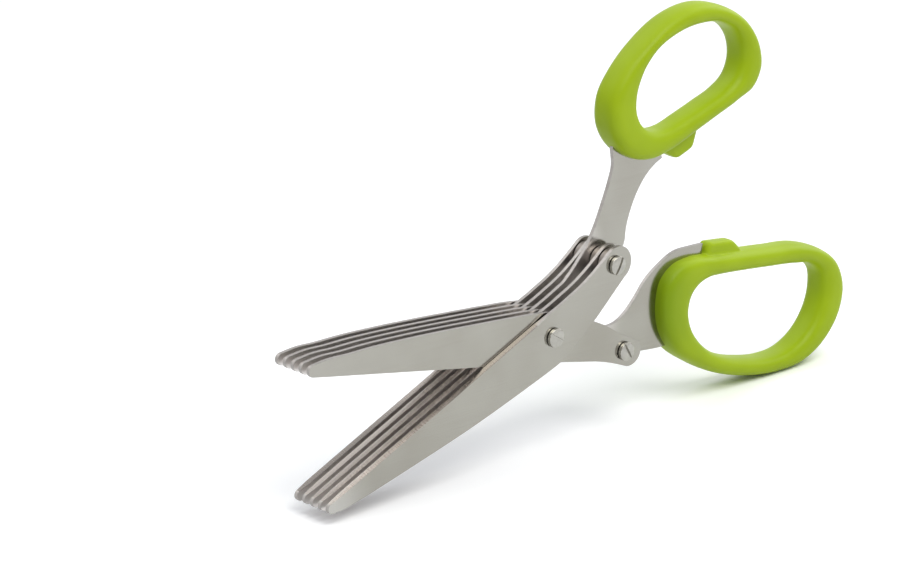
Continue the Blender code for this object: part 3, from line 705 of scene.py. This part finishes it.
def fastener(name, node, arm, place, headRadius, sleeveRadius, front, back, slotTurn):
    # A domed, slotted screw from the front in a flanged sleeve nut from the back
    fit = stack["fit"]
    centre = onAxis(arm, place)
    steel = turnedSteel(name + "Steel", centre, screwLook)
    under = front - fit
    bore = sleeveRadius - screws["wall"]
    floor = back - screws["flange"]
    a = np.radians(np.linspace(0, 90, screws["domeSteps"] + 1))
    crown = screws["headHeight"] - screws["headEdge"]
    dome = np.column_stack([under - screws["headEdge"] - crown * np.sin(a),
                            headRadius * np.cos(a)])
    dome[-1, 1] = 0
    shaft = [(floor - fit, 0), (floor - fit, bore - fit), (under, bore - fit), (under, headRadius)]
    screw = turned(name + "Screw", arm, place, np.vstack([shaft, dome]), screws["sides"], steel)
    turn = math.radians(slotTurn + arm["turn"])
    cutSlot(screw, centre, turn, headRadius, stack["front"] + under - screws["headHeight"])
    seat, end = back + fit, back + fit + screws["flange"]
    r = screws["rounding"]
    nut = turned(name + "Nut", arm, place,
                 [(front, bore), (front, sleeveRadius), (seat, sleeveRadius), (seat, headRadius),
                  (end - 2.2 * r, headRadius), (end - r, headRadius - 0.35 * r),
                  (end - 0.3 * r, headRadius - r), (end, headRadius - 2.2 * r), (end, 0),
                  (floor, 0), (floor, bore)], screws["sides"], steel)
    for piece, ending in ((screw, "_screw"), (nut, "_nut")):
        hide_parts(node + ending)
        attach(piece, "arm_" + arm["letter"])


spacers = dict(chamfer=0.1 * mm, sides=72)


def stackEnds(arm):
    # The front of an arm's first blade and the back of its last one
    front = arm["shift"]
    return front, front + (stack["plates"] - 1) * stack["step"] + stack["thickness"]


for arm in (armA, armB):
    letter = arm["letter"].upper()
    front, back = stackEnds(arm)
    fastener("rear" + letter, "rear_" + arm["letter"], arm, arm["rear"], screws["rearHead"],
             stack["rearSleeve"], front, back, arm["slotTurn"])
    steel = turnedSteel("spacerSteel" + letter, onAxis(arm, arm["rear"]), spacerLook)
    length = stack["step"] - stack["thickness"] - 2 * stack["fit"]
    bore, rim = stack["rearSleeve"] + stack["fit"], arm["spacerRadius"]
    cut = spacers["chamfer"]
    for index in range(stack["plates"] - 1):
        seat = front + index * stack["step"] + stack["thickness"] + stack["fit"]
        end = seat + length
        spacer = turned(f"spacer{letter}{index + 1}", arm, arm["rear"],
                        [(seat, bore), (seat, rim - cut), (seat + cut, rim), (end - cut, rim),
                         (end, rim - cut), (end, bore)], spacers["sides"], steel)
        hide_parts(f"spacer_{arm['letter']}{index + 1}")
        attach(spacer, "arm_" + arm["letter"])

fastener("pivot", "pivot", armA, (0, 0), screws["pivotHead"], stack["pivotSleeve"],
         0.0, stackEnds(armB)[1], screws["pivotSlotTurn"])
print("fasteners and spacers made")


# Finger loops

loopShape = dict(depth=10.2 * mm,
                 broad=(4.0 * mm, 6.8 * mm),    # half widths of the loop's thin and broad places
                 fill=(2.5, 3.7),               # how square its section is at the two
                 waist=(0.95, 0.875),           # and its share of the outlines' half width
                 stations=10, sides=96, voxel=0.35 * mm, smoothing=5, smoothingShare=0.5,
                 nubWidth=4.8 * mm, nubRounding=1.3 * mm, roundingSteps=6,
                 nubRoot=2.5 * mm,              # how far the nub reaches into the loop
                 meet=20.05 * mm)               # from the pivot to where the closed nubs meet


def loopGrid(arm):
    # A squarish oval between the outer outline and the hole, at each station round the loop:
    # the fill-th powers of its two coordinates add up to a constant. Its centre lies halfway
    # between the two outlines and its height is the loop's depth. It is fuller where the loop
    # is broad, at the shank: there the front is flatter and the wall steeper.
    shape = loopShape
    outer = smoothCurve(loopPoints(arm, 0), shape["stations"], closed=True)
    hole = smoothCurve(loopPoints(arm, 2), shape["stations"], closed=True)
    centre, reach = (outer + hole) / 2, (outer - hole) / 2
    broad = np.linalg.norm(reach, axis=1)[:, None]
    fill = np.interp(broad, shape["broad"], shape["fill"])
    reach = reach * np.interp(broad, shape["broad"], shape["waist"])
    a = np.linspace(0, 2 * math.pi, shape["sides"], endpoint=False)[None, :]
    across, deep = (np.sign(f) * np.abs(f) ** (2 / fill) for f in (np.cos(a), np.sin(a)))
    middle = arm["shift"] + (stack["plates"] // 2) * stack["step"] + stack["thickness"] / 2
    u = centre[:, :1] + reach[:, :1] * across
    v = centre[:, 1:] + reach[:, 1:] * across
    y = middle + shape["depth"] / 2 * deep + 0 * u
    verts = placed(arm, u, y, v).reshape(-1, 3)
    return verts, gridFaces(len(outer), shape["sides"], closeRows=True), middle


def nubSlab(arm, middle):
    # A rounded block on the straight side, wider at its root
    shape = loopShape
    inner = arm["loopInner"]
    top = arm["side"] * (shape["meet"] + arm["side"] * stack["fit"] / 2)
    start, end = arm["nubStart"], arm["nubStart"] + arm["nubLength"]
    near, far = ((inner - top) * slope for slope in arm["nubSlopes"])
    root = inner + shape["nubRoot"]
    corners = np.array([(start, root), (start, inner), (start + near, top), (end - far, top),
                        (end, inner), (end, root)])
    r, steps = shape["nubRounding"], shape["roundingSteps"]
    outline = roundCorners(corners, r, steps)
    a = np.radians(np.linspace(90, 0, steps + 1))
    fall, inset = r * (1 - np.sin(a)), r * (1 - np.cos(a))
    half = shape["nubWidth"] / 2
    depths = np.concatenate([middle - half + fall, middle + half - fall[::-1]])
    insets = np.concatenate([inset, inset[::-1]])
    return slab(arm, outline, np.repeat(insets[:, None], len(outline), axis=1), depths)[:2]


def loopPiece(arm, plastic):
    # The loop and its nub, grown together into one skin
    verts, faces, middle = loopGrid(arm)
    ring = newPiece("loop" + arm["letter"].upper(), verts, faces.tolist(), [plastic])
    faceOut(ring)
    verts, faces = nubSlab(arm, middle)
    nub = newPiece("nub" + arm["letter"].upper(), verts, faces, [plastic])
    faceOut(nub)
    work = bmesh.new()
    work.from_mesh(ring.data)
    work.from_mesh(nub.data)
    work.to_mesh(ring.data)
    work.free()
    bpy.data.objects.remove(nub)
    skin = ring.modifiers.new("skin", "REMESH")
    skin.mode, skin.voxel_size, skin.use_smooth_shade = "VOXEL", loopShape["voxel"], True
    soften = ring.modifiers.new("soften", "SMOOTH")
    soften.factor, soften.iterations = loopShape["smoothingShare"], loopShape["smoothing"]
    applyModifiers(ring)
    ring.data.shade_smooth()
    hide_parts("handle_" + arm["letter"])
    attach(ring, "arm_" + arm["letter"])
    return ring


for arm in (armA, armB):
    loop = loopPiece(arm, loopPlastic(arm))
    print(loop.name, "faces", len(loop.data.polygons))


# Stage: pale floor, plain soft light, and the camera at the photograph's viewing angle

stageLook = dict(size=8.0,
                 floor=0.84,              # for light that bounces off it
                 floorShown=0.95,         # in reflections
                 floorSeen=1.12,          # for the camera
                 fade=(0.35, 0.8),        # metres from the middle where it turns to white
                 level=0.08, overhead=0.80, sky=(0.92, 0.95, 1.0, 1.0),
                 key=dict(size=0.75, place=(-0.08, -0.60, 1.0), power=6.3, tint=(1.0, 0.985, 0.95)),
                 fill=dict(size=0.9, place=(-0.25, 0.65, 1.0), power=2.0),
                 rim=dict(size=0.8, place=(0.95, -0.05, 0.65), power=3.2))


def makeFloor():
    # It has one colour for the camera, one for reflections and one for all other light
    half = stageLook["size"] / 2
    corners = [(-half, -half, 0), (half, -half, 0), (half, half, 0), (-half, half, 0)]
    floor = newPiece("floor", corners, [(0, 1, 2, 3)])
    paint = Paint("floorPaint", Roughness=0.9)
    rays = paint.node("ShaderNodeLightPath").socket.node.outputs
    seen, glossy, through = (Signal(paint, rays[f"Is {kind} Ray"])
                             for kind in ("Camera", "Glossy", "Transmission"))
    mirrored = glossy + through
    pale, shown, bright = ((stageLook[key],) * 3 + (1,)
                           for key in ("floor", "floorShown", "floorSeen"))
    shade = mirrored.math("MINIMUM", 1.0).blend(pale, shown)
    shade = seen.blend(shade, bright)
    matt = paint.node("ShaderNodeBsdfDiffuse", None, {"Color": shade})
    # far from the scissors, where the lamps don't reach, it is seen as plain white backdrop
    spot = paint.node("ShaderNodeTexCoord", out=3)
    away = paint.node("ShaderNodeVectorMath", {"operation": "LENGTH"}, {0: spot}, out=1)
    direct = (mirrored + seen).math("MINIMUM", 1.0)
    white = paint.node("ShaderNodeEmission", None, {"Strength": 1.0})
    ground = paint.node("ShaderNodeMixShader", None,
                        {0: away.ease(*stageLook["fade"]) * direct, 1: matt, 2: white})
    paint.tree.links.new(ground.socket, paint.tree.nodes["Material Output"].inputs["Surface"])
    floor.data.materials.append(paint.material)


def makeWorld():
    # A pale sky for the light, and plain white where it is seen straight or in a reflection
    world = bpy.data.worlds.new("studio")
    bpy.context.scene.world = world
    world.use_nodes = True
    tree = world.node_tree
    rays = tree.nodes.new("ShaderNodeLightPath")
    background = tree.nodes["Background"]
    seen = rays.outputs["Is Camera Ray"]
    for kind in ("Is Glossy Ray", "Is Transmission Ray"):
        either = tree.nodes.new("ShaderNodeMath")
        either.operation = "MAXIMUM"
        tree.links.new(seen, either.inputs[0])
        tree.links.new(rays.outputs[kind], either.inputs[1])
        seen = either.outputs[0]
    # the sky gives more light from overhead than from its edge
    towards = tree.nodes.new("ShaderNodeSeparateXYZ")
    tree.links.new(tree.nodes.new("ShaderNodeTexCoord").outputs["Generated"], towards.inputs[0])
    height = tree.nodes.new("ShaderNodeMapRange")
    height.inputs["To Min"].default_value = stageLook["level"]
    height.inputs["To Max"].default_value = stageLook["level"] + stageLook["overhead"]
    tree.links.new(towards.outputs[2], height.inputs["Value"])
    level = tree.nodes.new("ShaderNodeMapRange")
    tree.links.new(height.outputs[0], level.inputs["To Min"])
    level.inputs["To Max"].default_value = 1.0
    tree.links.new(seen, level.inputs["Value"])
    tree.links.new(level.outputs[0], background.inputs["Strength"])
    tint = tree.nodes.new("ShaderNodeMix")
    tint.data_type = "RGBA"
    tint.inputs[6].default_value, tint.inputs[7].default_value = stageLook["sky"], (1, 1, 1, 1)
    tree.links.new(seen, tint.inputs[0])
    tree.links.new(tint.outputs[2], background.inputs["Color"])


def makeLamp(name, look):
    # A square lamp that faces the middle of the floor
    lamp = bpy.data.lights.new(name, "AREA")
    lamp.size, lamp.energy = look["size"], look["power"]
    lamp.color = look.get("tint", (1, 1, 1))
    thing = bpy.data.objects.new(name, lamp)
    bpy.context.scene.collection.objects.link(thing)
    thing.location = look["place"]
    thing.rotation_euler = (-Vector(look["place"])).to_track_quat("-Z", "Y").to_euler()


cameraLook = dict(turn=-41.32, rise=17.81, roll=-0.33, aside=29.8 * mm, above=-15.94 * mm,
                  away=998.53 * mm, focal=3501.19, width=900, sensor=36.0)


def makeCamera():
    # The camera looks back at the pivot from its turn and rise, moved aside and up by the two
    # offsets. The focal length and the width are in pixels, the sensor in millimetres.
    look = cameraLook
    a, e, r = (math.radians(look[key]) for key in ("turn", "rise", "roll"))
    backwards = Vector((math.sin(a) * math.cos(e), -math.cos(a) * math.cos(e), math.sin(e)))
    level = Vector((math.cos(a), math.sin(a), 0))
    up = backwards.cross(level)
    right = level * math.cos(r) + up * math.sin(r)
    top = up * math.cos(r) - level * math.sin(r)
    lens = bpy.data.cameras.new("camera")
    lens.sensor_width, lens.lens = look["sensor"], look["sensor"] * look["focal"] / look["width"]
    lens.clip_start, lens.clip_end = 0.01, 50
    thing = bpy.data.objects.new("camera", lens)
    bpy.context.scene.collection.objects.link(thing)
    stand = Matrix((right, top, backwards)).transposed().to_4x4()
    zero = Vector((stack["pivot"].x, stack["front"], stack["pivot"].z))
    stand.translation = zero - right * look["aside"] - top * look["above"] + backwards * look["away"]
    thing.matrix_world = stand
    bpy.context.scene.camera = thing


makeFloor()
makeWorld()
for name in ("key", "fill", "rim"):
    makeLamp(name, stageLook[name])
makeCamera()
bpy.context.scene.view_settings.view_transform = "Standard"
print("stage made")
